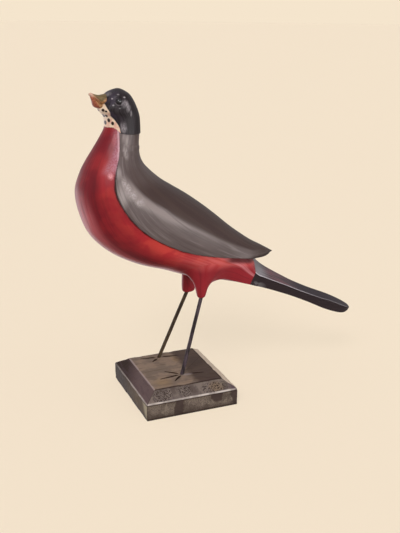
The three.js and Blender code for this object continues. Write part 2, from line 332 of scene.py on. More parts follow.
def overlay_place(form, border, s, column, columns, corner):
    """Half of a cut's outline runs from the back to the rim, round it and across."""
    cut = form.section(s)
    rim = rim_angle(cut, border)
    step = columns // 2 - abs(column - columns // 2)
    side = SIDES["right"] if column <= columns // 2 else SIDES["left"]
    reach = math.hypot(cut.reach.x, cut.reach.y)

    def over(angle):
        up, out = oval(angle)
        flat = cut.middle + up * cut.reach
        return Vector((flat.x, out * cut.half, flat.y))

    edge = over(rim)
    soft = min(corner, 0.45 * edge.y)
    speed = math.hypot(reach * math.sin(rim), cut.half * math.cos(rim))
    shoulder_angle = min(rim + soft / max(speed, 1e-6), math.pi)
    inner = edge - Vector((0, soft, 0))
    top_steps = columns // 2 - CORNER_STEPS - CHORD_STEPS
    if step >= CORNER_STEPS + CHORD_STEPS:
        t = (step - CORNER_STEPS - CHORD_STEPS) / top_steps
        angle = lerp(shoulder_angle, math.pi, t)
        point = over(angle)
    elif step >= CHORD_STEPS:
        t = (step - CHORD_STEPS) / CORNER_STEPS
        shoulder = over(shoulder_angle)
        point = inner.lerp(edge, t).lerp(edge.lerp(shoulder, t), t)
        angle = rim
    else:
        point = inner * 1
        point.y = inner.y * step / CHORD_STEPS
        angle = rim
    point.y *= side
    turn = angle if side == SIDES["right"] else 2 * math.pi - angle
    return point, form.flow(s, turn)


# Folded wings
WING_ROWS, WING_COLUMNS = 220, 130
WING_CORNER = 0.5
wing_cuts = []
for c in CUTS:
    if c.lift is not None:
        wing_cuts.append(sunk_back(c, max(-c.lift, 0))._replace(half=c.half + c.lift))
wings = Form(WING_START, [*wing_cuts, *WING_TIP_CUTS], WING_END)
edge_points = [Vector(p) for p in WING_EDGE]
EDGE_STEPS = 12
wing_border = [
    spline(edge_points, i / EDGE_STEPS, False)
    for i in range((len(edge_points) - 1) * EDGE_STEPS + 1)
]


def wing_place(row, column):
    s = wings.last * row / WING_ROWS
    return overlay_place(wings, wing_border, s, column, WING_COLUMNS, WING_CORNER)


def make_wings():
    return wrapped(WING_ROWS, WING_COLUMNS, wing_place)


def mark_edge(bm):
    """Keeps how far each point is from the wings' lower edge, in side view."""
    edge = KDTree(len(wing_border))
    for i, point in enumerate(wing_border):
        edge.insert((point.x, 0, point.y), i)
    edge.balance()
    layer = bm.verts.layers.float.new("edge")
    for vert in bm.verts:
        vert[layer] = edge.find((vert.co.x, 0, vert.co.z))[2]


# Hood: the black cap, a little proud of the neck
HOOD_GROWTH = 0.3
HOOD_ROWS, HOOD_COLUMNS = 110, 130
HOOD_CORNER = 0.3
HOOD_CLOSING = 8
HOOD_EYE_DENT = {"depth": 0.7, "near": 2.1, "far": 3.0}
hood_cuts = [
    *CUTS[:5], Cut((43.6, 181.1), (22.1, 179.4), 10.9), Cut((46.0, 176.5), (22.6, 174.8), 12.2),
]
hood = Form((35.0, 206.3), [grown(c, HOOD_GROWTH) for c in hood_cuts], (34.0, 170.0))
HOOD_END = 6
HOOD_BORDER = [
    Vector(p)
    for p in [
        (48.6, 199.4), (44.8, 197.6), (44.3, 195.5), (42.7, 192.6), (42.3, 190.9),
        (40.3, 188.8), (38.3, 185.8), (37.3, 183.4), (37.0, 180.2), (36.9, 176.0),
    ]
]


def hood_place(row, column):
    outer = HOOD_ROWS - HOOD_CLOSING
    s = HOOD_END * min(row / outer, 1)
    point, flow = overlay_place(hood, HOOD_BORDER, s, column, HOOD_COLUMNS, HOOD_CORNER)
    sink_at_eye(point, **HOOD_EYE_DENT)
    if row > outer:
        t = (row - outer) / HOOD_CLOSING
        centre = hood.section(HOOD_END).middle
        inward = Vector((centre.x, 0, centre.y)) - point
        drop = Vector((0, 0, -HOOD_CORNER))
        if row == outer + 1:
            point += drop + HOOD_CORNER * inward.normalized()
        else:
            point += drop + (t ** 0.7) * inward
    return point, flow


def make_hood():
    return wrapped(HOOD_ROWS, HOOD_COLUMNS, hood_place)


# Thighs: a shaft from the tip, then a sweep out to lie along the belly. stout, heel and shin
# widen the tip, the tip behind the leg and the front of the thigh; fore and aft are the sweep's
Thigh = namedtuple("Thigh", "x out z stout heel shin fore aft")
THIGHS = {
    "left": Thigh(-16.0, 10.9, 69.1, stout=1, heel=1, shin=1, fore=15, aft=20),
    "right": Thigh(-14.5, 10.9, 66.2, stout=1.25, heel=2.1, shin=0.62, fore=8, aft=16),
}
THIGH_CUTS = [
    (21.5, 7.0, 9.5, 5.6), (17.0, 11.0, 16.0, 6.4), (13.4, 7.6, 11.6, 5.6),
    (11.4, 6.1, 7.9, 4.8), (9.5, 5.2, 5.9, 4.3), (6.8, 4.2, 4.4, 3.8),
    (4.3, 3.5, 3.7, 3.4), (1.3, 2.7, 2.8, 2.6), (0.25, 1.6, 1.6, 1.6),
]
THIGH_TOP = 23.0
STOUT_HEIGHT = 10.0
BELLY_SLOPE, BELLY_HEIGHT = 0.3, 17.0
THIGH_ROWS, THIGH_COLUMNS = 76, 72
SHAFT_ROWS, SWEEP_ROWS = 32, 36
SHAFT_S = 6.0
SWEEP_OUTER, SWEEP_INNER = 8.5, 7.5
SWEEP_RISE, SWEEP_SPREAD = 15.0, 19.0


def thigh_tip(side):
    thigh = THIGHS[side]
    return Vector((thigh.x, SIDES[side] * thigh.out, thigh.z))


def thigh_form(thigh):
    cuts = []
    for height, fore, aft, half in THIGH_CUTS:
        up = min(height / STOUT_HEIGHT, 1)
        fore *= lerp(thigh.stout, thigh.shin, up)
        aft *= lerp(thigh.heel, 1, up)
        slope = BELLY_SLOPE * min(height / BELLY_HEIGHT, 1)
        front = (thigh.x + fore, thigh.z + height + fore * slope)
        back = (thigh.x - aft, thigh.z + height - aft * slope)
        cuts.append(Cut(front, back, half * lerp(thigh.stout, 1, up)))
    return Form((thigh.x, thigh.z + THIGH_TOP), cuts, (thigh.x, thigh.z))


def make_thigh(side, skin):
    thigh, sign = THIGHS[side], SIDES[side]
    form, tip = thigh_form(thigh), thigh_tip(side)
    aside = Vector((0, tip.y, 0))
    inside = tip + Vector((0, -sign * 4, 20))

    def place(row, column):
        turn = 2 * math.pi * column / THIGH_COLUMNS
        s = form.last - (form.last - SHAFT_S) * min(row / SHAFT_ROWS, 1)
        shaft = form.place(s, turn) + aside
        flow = Vector((form.between(form.lengths, s), 4 * math.cos(turn), 4 * math.sin(turn)))
        if row <= SHAFT_ROWS:
            return shaft, flow
        rise = (shaft - form.place(s + 0.3, turn) - aside).normalized()
        # Round the leg, the sweep's reach follows an oval
        ahead, beside = math.cos(turn), -math.sin(turn)
        long = thigh.fore if ahead > 0 else thigh.aft
        wide = SWEEP_OUTER if beside * sign > 0 else SWEEP_INNER
        away = Vector((ahead * long, beside * wide, 0))
        hit, normal, _, _ = skin.ray_cast(tip + away - Vector((0, 0, 20)), Vector((0, 0, 1)))
        landing = hit - 0.05 * normal
        outward = (away - away.dot(normal) * normal).normalized()
        if row <= SHAFT_ROWS + SWEEP_ROWS:
            t = (row - SHAFT_ROWS) / SWEEP_ROWS
            point = (2 * t**3 - 3 * t**2 + 1) * shaft + (3 * t**2 - 2 * t**3) * landing
            point += (t**3 - 2 * t**2 + t) * SWEEP_RISE * rise
            point += (t**3 - t**2) * SWEEP_SPREAD * outward
            return point, flow
        t = (row - SHAFT_ROWS - SWEEP_ROWS) / (THIGH_ROWS - SHAFT_ROWS - SWEEP_ROWS)
        return landing.lerp(inside, t), flow

    return wrapped(THIGH_ROWS, THIGH_COLUMNS, place)


# Beak
UPPER_BEAK = Form(
    (38.0, 199.5),
    [
        Cut((41.0, 203.2), (41.0, 196.0), 5.4), Cut((44.4, 203.0), (44.6, 196.2), 4.7),
        Cut((47.1, 202.6), (47.4, 198.2), 3.6), Cut((49.5, 203.1), (49.9, 200.3), 2.3),
        Cut((52.1, 204.0), (52.5, 202.0), 1.2),
    ],
    (53.4, 203.2),
)
LOWER_BEAK = Form(
    (38.0, 195.5),
    [
        Cut((41.0, 197.6), (41.0, 193.4), 4.9), Cut((44.6, 197.4), (46.6, 194.4), 4.3),
        Cut((47.2, 198.6), (50.6, 195.9), 3.2), Cut((49.6, 200.6), (51.7, 199.2), 2.0),
        Cut((51.4, 202.0), (52.4, 201.4), 1.0),
    ],
    (52.4, 202.2),
)
BEAK_ROWS, BEAK_COLUMNS = 72, 64


def make_beak(form):
    def place(row, column):
        s, turn = form.last * row / BEAK_ROWS, 2 * math.pi * column / BEAK_COLUMNS
        return form.place(s, turn), form.flow(s, turn)

    return wrapped(BEAK_ROWS, BEAK_COLUMNS, place)


# Block
BLOCK = {"length": 64, "width": 69, "side": 11.8, "bevel_inset": 8.2, "bevel_rise": 5.6}
BLOCK_TOP = BLOCK["side"] + BLOCK["bevel_rise"]
FEET = {"left": (-1.3, 11.1), "right": (3.9, -20.1)}
TOES = {
    "left": [(-39.5, 12.5), (7.3, 16.4), (44.7, 11.6), (170, 14.9)],
    "right": [(-8.9, 13.3), (41, 9.0), (172, 14.0)],
}
TOE_WIDTH, TOE_DEPTH, TOE_START, TOE_WIDEST = 1.3, 0.75, 1.8, 0.3
ARRIS = 0.45
GRID_PITCH = 1.5
FINE_CUTS = 3
FINE_REACH = 2.2
WEAR_REACH = 2.4


def span(point, a, b):
    """How far along a to b a point lies, and how far from it."""
    along = b - a
    t = clamp((point - a).dot(along) / along.length_squared)
    return t, (point - a - t * along).length


def toe_lines():
    lines = []
    for side, strokes in TOES.items():
        foot = Vector((*FEET[side], BLOCK_TOP))
        for degrees, length in strokes:
            way = Vector((math.cos(math.radians(degrees)), math.sin(math.radians(degrees)), 0))
            lines.append((foot + TOE_START * way, foot + length * way))
    return lines


def stroke_depth(point, lines):
    """1 at the bottom of a toe's cut, 0 outside it."""
    depth = 0.0
    lean = math.log(0.5) / math.log(TOE_WIDEST)
    for a, b in lines:
        t, away = span(point, a, b)
        full = math.sin(math.pi * clamp(t, 0.02, 0.98) ** lean) ** 0.6
        depth = max(depth, full - 2 * away / TOE_WIDTH)
    return depth


def make_block():
    bm = bmesh.new()
    bmesh.ops.create_cube(bm, size=1)
    side = BLOCK["side"]
    bmesh.ops.translate(bm, verts=bm.verts, vec=(0, 0, 0.5))
    bmesh.ops.scale(bm, verts=bm.verts, vec=(BLOCK["length"], BLOCK["width"], side))
    top = [f for f in bm.faces if f.normal.z > 0.5]
    rise, inset = BLOCK["bevel_rise"], BLOCK["bevel_inset"]
    bmesh.ops.inset_region(bm, faces=top, thickness=inset, depth=rise, use_even_offset=True)
    bm.normal_update()
    edges = [(e.verts[0].co.copy(), e.verts[1].co.copy()) for e in bm.edges]
    bmesh.ops.bevel(
        bm, geom=bm.edges, offset=ARRIS, segments=2, affect="EDGES", profile=0.5, material=-1,
    )
    for axis, size in enumerate((BLOCK["length"], BLOCK["width"], 2 * BLOCK_TOP)):
        count = math.floor(size / GRID_PITCH)
        for i in range(1, count):
            normal, middle = Vector((0, 0, 0)), Vector((0, 0, 0))
            normal[axis] = 1
            middle[axis] = size * (i / count - 0.5)
            geometry = [*bm.verts, *bm.edges, *bm.faces]
            bmesh.ops.bisect_plane(bm, geom=geometry, dist=1e-4, plane_co=middle, plane_no=normal)
    lines = toe_lines()
    near = [
        e for e in bm.edges
        if min(v.co.z for v in e.verts) > BLOCK_TOP - 0.01
        and min(span((e.verts[0].co + e.verts[1].co) / 2, a, b)[1] for a, b in lines) < FINE_REACH
    ]
    bmesh.ops.subdivide_edges(bm, edges=near, cuts=FINE_CUTS, use_grid_fill=True)
    bm.normal_update()
    moves = []
    for vert in bm.verts:
        point = vert.co
        away = min(span(point, a, b)[1] for a, b in edges)
        wear = 1 - smooth(0, WEAR_REACH, away)
        stroke = clamp(stroke_depth(point, lines)) if point.z > BLOCK_TOP - 0.01 else 0
        dents = 0.1 * noise.noise(point / 13) + 0.05 * noise.noise(point / 4.5)
        chips = 0.9 * wear * max(0, noise.noise(point / 5 + Vector((7, 3, 1))) - 0.12)
        move = (dents - chips - 0.08) * vert.normal
        move.z -= TOE_DEPTH * stroke
        if point.z < 1e-3:
            move = Vector((0, 0, 0))
        moves.append(move)
    for vert, move in zip(bm.verts, moves):
        vert.co += move
        vert.co.z = max(vert.co.z, 0)
    return bm


# Legs
WIRE_RADIUS, WIRE_DEPTH, WIRE_SIDES, WIRE_RINGS = 1.25, 8.0, 28, 90
WIRE_BOW = 0.15


def make_wire(side):
    foot = Vector((*FEET[side], BLOCK_TOP))
    hip = thigh_tip(side) + Vector((0, BIRD_Y, 0))
    along = (hip - foot).normalized()
    length = (hip - foot).length + 2 * WIRE_DEPTH
    bm = bmesh.new()
    bmesh.ops.create_cone(
        bm, segments=WIRE_SIDES, radius1=WIRE_RADIUS, radius2=WIRE_RADIUS, depth=length, cap_ends=True,
    )
    long_edges = [e for e in bm.edges if e.calc_length() > length / 2]
    bmesh.ops.subdivide_edges(bm, edges=long_edges, cuts=WIRE_RINGS, use_grid_fill=True)
    seed = Vector((0, 0, 40 * SIDES[side]))
    for vert in bm.verts:
        share = abs(2 * vert.co.z / length)
        bow = WIRE_BOW * (1 - share**4)
        height = vert.co.z
        vert.co.x += bow * noise.noise(Vector((0, 0, height / 16)) + seed)
        vert.co.y += bow * noise.noise(Vector((9, 0, height / 16)) + seed)
        vert.co += 0.03 * noise.noise(vert.co / 2.5 + seed) * vert.normal
    turn = along.to_track_quat("Z", "Y").to_matrix()
    bmesh.ops.rotate(bm, verts=bm.verts, cent=(0, 0, 0), matrix=turn)
    bmesh.ops.translate(bm, verts=bm.verts, vec=(foot + hip) / 2)
    return bm


# Finishes: a sum on sockets adds its own nodes
class Value:
    """A node's socket, to reckon with."""

    def __init__(self, nodes, socket):
        self.nodes = nodes
        self.socket = socket

    def reckon(self, operation, a, b):
        return self.nodes.node("ShaderNodeMath", {"operation": operation}, {0: a, 1: b})

    def __add__(self, other):
        return self.reckon("ADD", self, other)

    def __sub__(self, other):
        return self.reckon("SUBTRACT", self, other)

    def __rsub__(self, other):
        return self.reckon("SUBTRACT", other, self)

    def __mul__(self, other):
        return self.reckon("MULTIPLY", self, other)

    __radd__ = __add__
    __rmul__ = __mul__

    def most(self, other):
        return self.reckon("MAXIMUM", self, other)

    def least(self, other):
        return self.reckon("MINIMUM", self, other)

    def size(self):
        return self.reckon("ABSOLUTE", self, 0.0)


class Nodes:
    """A node tree, with one method that adds any node."""

    def __init__(self, tree):
        self.tree = tree

    def node(self, kind, settings=(), values=(), out=0):
        made = self.tree.nodes.new(kind)
        for name, value in dict(settings).items():
            setattr(made, name, value)
        for key, value in dict(values).items():
            self.put(made.inputs[key], value)
        return Value(self, made.outputs[out])

    def put(self, socket, value):
        if isinstance(value, Value):
            self.tree.links.new(value.socket, socket)
        else:
            socket.default_value = value

    def vector(self, operation, *values, out=0):
        return self.node("ShaderNodeVectorMath", {"operation": operation}, enumerate(values), out)

    def parts(self, vector):
        split = self.node("ShaderNodeSeparateXYZ", (), {0: vector}).socket.node
        return [Value(self, out) for out in split.outputs]

    def band(self, value, low, high):
        """0 below low and 1 above high, or the other way where low is the higher."""
        ends = {0: value, 1: low, 2: high}
        return self.node("ShaderNodeMapRange", {"interpolation_type": "SMOOTHSTEP"}, ends)

    def blend(self, share, under, over):
        return self.node("ShaderNodeMix", {"data_type": "RGBA"}, {0: share, 6: under, 7: over}, 2)

    def noise(self, at, size, detail=2.0, seed=0.0):
        size = size if isinstance(size, tuple) else (size, size, size)
        scaled = self.vector("DIVIDE", at, size)
        moved = self.vector("ADD", scaled, (seed, seed, seed))
        return self.node("ShaderNodeTexNoise", (), {"Vector": moved, "Scale": 1.0, "Detail": detail})

    def patches(self, at, size, low=0.42, high=0.58, detail=2.0, seed=0.0):
        return self.band(self.noise(at, size, detail, seed), low, high)

    def spot(self, at, centre, size, soft=0.5):
        """1 in the middle of an oval spot, 0 outside it."""
        away = self.vector("DIVIDE", self.vector("SUBTRACT", at, centre), size)
        return self.band(self.vector("LENGTH", away, out=1), 1.0, 1 - soft)

    def spots(self, at, marks, soft=0.5):
        total = 0.0
        for centre, size in marks:
            mark = self.spot(at, centre, size, soft)
            total = mark.most(total)
        return total


class Finish(Nodes):
    """A material; at is the place in millimetres, from the bird's mid-plane."""

    def __init__(self, name, **constants):
        self.material = bpy.data.materials.new(name)
        self.material.use_nodes = True
        super().__init__(self.material.node_tree)
        self.shader = self.tree.nodes["Principled BSDF"]
        for socket, value in constants.items():
            self.shader.inputs[socket.replace("_", " ")].default_value = value
        metres = self.node("ShaderNodeTexCoord", out=3)
        self.at = self.vector("MULTIPLY_ADD", metres, (1 / MM,) * 3, (0, -BIRD_Y, 0))
        self.x, self.y, self.z = self.parts(self.at)
        self.aside = self.y.size()
        self.mirrored = self.node("ShaderNodeCombineXYZ", (), {0: self.x, 1: self.aside, 2: self.z})

    def attribute(self, name, out):
        return self.node("ShaderNodeAttribute", {"attribute_name": name}, out=out)

    def upward(self):
        """1 where the surface faces up and -1 where it faces down."""
        return self.parts(self.node("ShaderNodeNewGeometry", out=1))[2]

    def done(self, colour, roughness, height=None, depth=0.1):
        self.put(self.shader.inputs["Base Color"], colour)
        self.put(self.shader.inputs["Roughness"], roughness)
        if height:
            bump = self.node("ShaderNodeBump", (), {"Distance": depth * MM, "Height": height})
            self.put(self.shader.inputs["Normal"], bump)
        return self.material


def tint(red, green, blue):
    """A colour given as it looks, from 0 to 255, made linear."""
    shares = [level / 255 for level in (red, green, blue)]
    linear = [s / 12.92 if s < 0.04045 else ((s + 0.055) / 1.055) ** 2.4 for s in shares]
    return (*linear, 1.0)


PAINT = {"Specular_IOR_Level": 0.28}

# Red paint, shared by the breast and the thighs
CRIMSON, SCARLET, OXBLOOD = tint(124, 26, 36), tint(146, 34, 40), tint(92, 22, 30)
# The flank reds are painted highlight, for the band below the wings' edge
RUMP, FLANK_HIGHLIGHT, PINK_HIGHLIGHT = tint(154, 38, 46), tint(208, 68, 60), tint(220, 104, 100)


def red_paint(paint, streaks):
    """Brighter towards the tail, with a painted highlight along the wings' edge that grows towards the tail."""
    x, z = paint.x, paint.z
    patches = paint.patches(paint.at, (16, 10, 12), 0.4, 0.62)
    colour = paint.blend(patches, CRIMSON, SCARLET)
    colour = paint.blend(0.8 * paint.band(x, 8, -14), colour, RUMP)
    drags = paint.band(streaks, 0.5, 0.68)
    colour = paint.blend(0.45 * drags, colour, OXBLOOD)
    edge = paint.attribute("edge", 2)
    # Painted highlight: brighter, pinker red in a band below the wings' edge
    reach = 14.5 + 0.28 * (x + 14).least(0.0).most(-22.0)
    falling = paint.band(edge, reach, 3) * paint.band(z, 176, 160)
    flank_highlight = falling * (0.35 + 0.65 * paint.band(x, 46, 12))
    deeper = paint.patches(paint.at, (12, 8, 9), 0.42, 0.58, seed=6.0)
    bright = paint.blend(0.7 * deeper, FLANK_HIGHLIGHT, tint(180, 32, 46))
    pinkish = paint.band(x, 16, -22) * (0.3 + 0.7 * paint.band(streaks, 0.35, 0.6))
    return paint.blend(flank_highlight, colour, paint.blend(pinkish, bright, PINK_HIGHLIGHT))


# Grey paint, shared by the folded wings and the back of the neck
SLATE, UMBER, ASH = tint(103, 91, 88), tint(66, 50, 46), tint(160, 151, 146)


def grey_paint(paint, streaks):
    cloudy = paint.patches(paint.at, (20, 12, 14), 0.38, 0.64, seed=3.0)
    colour = paint.blend(0.5 * cloudy, SLATE, tint(90, 78, 76))
    colour = paint.blend(0.25 * paint.band(streaks, 0.54, 0.7), colour, ASH)
    colour = paint.blend(0.3 * paint.band(streaks, 0.47, 0.33), colour, tint(72, 60, 56))
    # Painted highlights, pale strokes on the neck and shoulder
    pale = (0.5 + 0.5 * paint.band(streaks, 0.34, 0.6)) * paint.spots(paint.mirrored, PALE_HIGHLIGHTS, 0.9)
    colour = paint.blend(0.6 * pale, colour, tint(188, 178, 173))
    # Darker towards the back of the neck: darker paint on the back, partly painted shade on the top, which turns from
    # the light
    nape = paint.band(35.4 - 0.05 * (paint.z - 160) - paint.x, 0.0, 9.0) * paint.band(paint.z, 158, 166)
    return paint.blend(0.45 * nape, colour, UMBER)


def brushed(paint, flow, across=1.3, along=32.0):
    """Fine streaks that run with the carving."""
    return paint.noise(flow, (along, across, across), 3.0)


# Painted highlights: pale strokes down the neck and on the shoulder
PALE_HIGHLIGHTS = [
    ((34.4, 11.3, 177.0), (3.2, 4.0, 9.0)), ((35.6, 14.0, 168.0), (2.4, 4.0, 9.0)),
    ((42.2, 21.5, 160.0), (2.6, 5.0, 9.0)), ((39.8, 25.6, 150.0), (4.4, 5.0, 5.0)),
    ((41.6, 26.0, 147.0), (5.5, 7.0, 12.0)),
]

# Breast, throat and tail
CREAM, SPOT = tint(240, 216, 186), tint(44, 26, 14)
THROAT_SPOTS = [
    ((47.2, 0.2, 193.8), (0.9, 2.0, 0.9)), ((46.0, 5.1, 194.2), (1.2, 1.8, 1.1)),
    ((44.7, 6.8, 193.7), (0.9, 1.2, 0.8)), ((44.7, 0.8, 190.6), (1.5, 2.6, 1.3)),
    ((43.9, 4.3, 190.8), (1.1, 1.6, 1.1)), ((42.6, 4.8, 188.1), (1.1, 1.6, 1.5)),
    ((43.4, 1.2, 186.3), (1.0, 1.8, 1.7)), ((40.9, 6.9, 186.4), (1.1, 1.3, 1.3)),
]
TAIL_BLACK, TAIL_GREY, TAIL_RED = tint(44, 34, 36), tint(134, 130, 132), tint(116, 64, 70)
# Painted sheens on the red
NECK_SHEEN, SHINE_PINK = tint(178, 124, 136), tint(222, 148, 150)
# The tail's eaves and roof, told by how far round the form the paint lies
EAVES_ROUND = FLOW_RADIUS * math.cos(EAVES_START)


def breast_paint():
    paint = Finish("breast_paint", **PAINT)
    x, z = paint.x, paint.z
    flow = paint.attribute("flow", 1)
    along, round_front, _ = paint.parts(flow)
    streaks = brushed(paint, flow, 1.6)
    ragged = paint.noise(paint.at, 2.2)
    colour = red_paint(paint, streaks)
    # Painted sheen: pinker red low on the front of the breast
    keel_sheen = paint.band(round_front, 15.4, 18.2) * paint.band(z, 150, 128) * paint.band(x, -8, 4)
    colour = paint.blend(0.6 * keel_sheen * paint.band(streaks, 0.24, 0.56), colour, tint(210, 104, 108))
    # Painted shade: a darker patch on each side of the breast's front
    breast_shade = paint.spot(paint.mirrored, (55.6, 15.4, 150.0), (4.5, 9.0, 20.0), 0.9)
    colour = paint.blend(0.45 * breast_shade, colour, OXBLOOD)
    speckled = paint.patches(paint.at, 0.8, 0.44, 0.56)
    facet = paint.band((round_front + 3.6).size(), 3.4, 0.6) * paint.band(x, -22, -44)
    dab = paint.spot(paint.mirrored, (46.9, 20.1, 157.2), (2.4, 4.0, 3.0), 0.9) * (0.5 + 0.5 * speckled)
    shine = (0.7 * facet * (0.4 + 0.6 * paint.band(streaks, 0.35, 0.6))).most(dab)
    colour = paint.blend(0.85 * shine, colour, SHINE_PINK)
    edge = paint.attribute("edge", 2)
    # Painted shadow: darker red just under the wings' edge, wider under their tips
    under = paint.band(edge, 5.4, 2.6) * paint.band(x, -27, -37)
    under = under.most(paint.band(edge, 1.0, 0.3))
    colour = paint.blend(0.9 * under, colour, tint(78, 20, 26))

    neck = 37.4 + 0.11 * (184 - z) + 0.17 * (172 - z).most(0.0) - x + 0.4 * ragged
    wide = 1.5 + 0.5 * (177 - z).most(0.0)
    # Painted sheen: a rosy band on the red beside the grey of the neck
    neck_sheen = 0.5 * paint.band(neck + wide, 0.0, 4.0) + 0.45 * paint.band(neck, -4.5, -1.5)
    neck_sheen = neck_sheen * paint.band(z, 156, 162) * (0.5 + 0.5 * speckled)
    colour = paint.blend(neck_sheen, colour, NECK_SHEEN)
    seam = paint.band((neck + 0.5).size(), 0.8, 0.2) * paint.band(z, 162, 170)
    colour = paint.blend(0.55 * seam, colour, tint(214, 184, 188))
    grey = grey_paint(paint, streaks)
    neck = paint.band(neck, -0.1, 0.3) * paint.band(z, 152, 158)
    colour = paint.blend(neck, colour, grey)

    rim = 183.7 - 2.7 * paint.band(x, 40.5, 37.0) + 1.4 * (ragged - 0.5)
    throat = paint.band(z - rim, -0.1, 0.3) * paint.band(x, 36.0, 36.6)
    pinker = paint.patches(paint.at, 3.0) * paint.band(x, 45.5, 42)
    cream = paint.blend(pinker, CREAM, tint(230, 184, 160))
    cream = paint.blend(paint.spots(paint.mirrored, THROAT_SPOTS, 0.3), cream, SPOT)
    colour = paint.blend(throat, colour, cream)

    border = -52.8 - 0.42 * (z.least(84.0) - 74) - 0.2 * (z - 84).most(0.0)
    on_tail = paint.band(border - x + 0.8 * (ragged - 0.5), -0.15, 0.25)
    # The roof is grey over the black side, partly a painted sheen on the top that faces the light
    roof = paint.band(round_front, EAVES_ROUND + 0.5, EAVES_ROUND - 0.5)
    dark_streaks = paint.band(streaks, 0.62, 0.44)
    roof_colour = paint.blend(dark_streaks * paint.band(x, -60, -70), TAIL_GREY, tint(64, 56, 58))
    purple = paint.band(streaks, 0.46, 0.56) * paint.band(x, -62, -72)
    roof_colour = paint.blend(0.8 * purple, roof_colour, TAIL_RED)
    roof_colour = paint.blend(paint.band(x, -74, -98), roof_colour, tint(45, 35, 40))
    greyed = paint.band(x, -68, -58) * paint.band(round_front, 2, 8) * paint.patches(paint.at, 4.0)
    side_colour = paint.blend(0.7 * greyed, TAIL_BLACK, tint(116, 112, 112))
    tail_colour = paint.blend(roof, side_colour, roof_colour)
    # A bright line along the eaves: wear, and a painted highlight on the edge
    wear_and_highlight = paint.band((round_front - EAVES_ROUND).size(), 0.75, 0.25) * (0.55 + 0.45 * paint.band(x, -112, -84))
    tail_colour = paint.blend(wear_and_highlight * (0.5 + 0.5 * dark_streaks), tail_colour, tint(226, 220, 224))
    colour = paint.blend(on_tail, colour, tail_colour)
    return paint.done(colour, 0.28 + 0.16 * streaks, streaks, 0.12)


def thigh_paint():
    paint = Finish("thigh_paint", **PAINT)
    streaks = brushed(paint, paint.attribute("flow", 1), 1.6)
    red = red_paint(paint, streaks)
    return paint.done(red, 0.28 + 0.16 * streaks, streaks, 0.08)


# Folded wings: a dark back, partly painted shade, a pale band of painted highlight below it and a dark rim of painted
# shadow
# Painted highlights on the shoulders
SHOULDER_HIGHLIGHTS = [
    ((40.0, 26, 154.0), (2.4, 7.0, 5.0)), ((38.0, 26, 150.0), (2.8, 7.0, 5.0)),
    ((35.6, 26, 146.0), (3.6, 7.0, 4.6)), ((31.6, 26, 141.6), (5.0, 7.0, 4.0)),
]


def wing_paint():
    paint = Finish("wing_paint", **PAINT)
    flow = paint.attribute("flow", 1)
    edge = paint.attribute("edge", 2)
    along, round_front, _ = paint.parts(flow)
    streaks = brushed(paint, flow)
    back = -7.8 - 0.068 * (along - 53) + 0.14 * (53 - along).most(0.0) + 1.2 * (streaks - 0.5)
    above = back - round_front
    fading = paint.band(paint.z, 172, 146)
    colour = grey_paint(paint, streaks)
    # Painted highlight: a pale band just below the dark back
    wide = 3.6 + 0.09 * (80 - along).most(0.0)
    pale = paint.band(above + wide, 0.0, 3.4) * paint.band(along, 22, 34) * paint.band(along, 132, 50)
    speckle = 0.35 + 0.65 * paint.patches(paint.at, 0.9, 0.44, 0.6)
    # Painted highlight on the shoulder, speckled
    shoulder_highlight = paint.spots(paint.mirrored, SHOULDER_HIGHLIGHTS, 0.95) * speckle
    colour = paint.blend(pale * paint.band(streaks, 0.24, 0.5), colour, tint(138, 126, 122))
    colour = paint.blend(0.7 * shoulder_highlight, colour, tint(196, 186, 182))
    # The dark back: darker paint, partly painted shade on the top, which turns from the light
    dark = paint.band(above, -1.2, 1.2) * fading
    colour = paint.blend(dark, colour, UMBER)
    colour = paint.blend(0.6 * dark * paint.patches(flow, (60, 3, 3), 0.45, 0.6), colour, tint(74, 58, 52))
    ridge = paint.band(round_front, -18.6, -19.8) * fading
    colour = paint.blend(0.6 * ridge, colour, tint(48, 36, 28))
    tip = paint.band(paint.x, -46, -64)
    colour = paint.blend(0.8 * tip, colour, tint(66, 52, 46))
    # Painted shadow: a dark line along the wings' lower edge
    rim = paint.band(edge - 1.6 * tip, 0.6, 0.2)
    colour = paint.blend(0.8 * rim, colour, tint(48, 36, 32))
    return paint.done(colour, 0.3 + 0.2 * streaks, streaks, 0.12)


# Hood
INK, BLUISH, CHALK = tint(34, 27, 29), tint(56, 48, 60), tint(168, 160, 162)
HOOD_DABS = [
    ((37.4, 7.3, 203.3), (1.2, 1.6, 0.6)), ((34.1, 9.0, 201.7), (1.1, 1.4, 0.7)),
    ((41.0, 7.3, 200.9), (0.9, 1.2, 0.8)), ((40.8, 9.0, 197.2), (1.0, 1.1, 0.8)),
    ((37.5, 10.6, 195.6), (0.9, 1.0, 0.7)),
]
HOOD_SHEEN = [
    ((34.0, 10.8, 198.2), (3.4, 2.8, 3.4)), ((32.2, 10.8, 195.4), (2.2, 2.8, 3.2)),
    ((30.4, 10.3, 192.2), (1.0, 2.0, 2.6)), ((35.4, 10.5, 184.0), (3.0, 2.6, 4.6)),
    ((42.2, 3.4, 203.4), (3.0, 4.0, 2.2)),
]


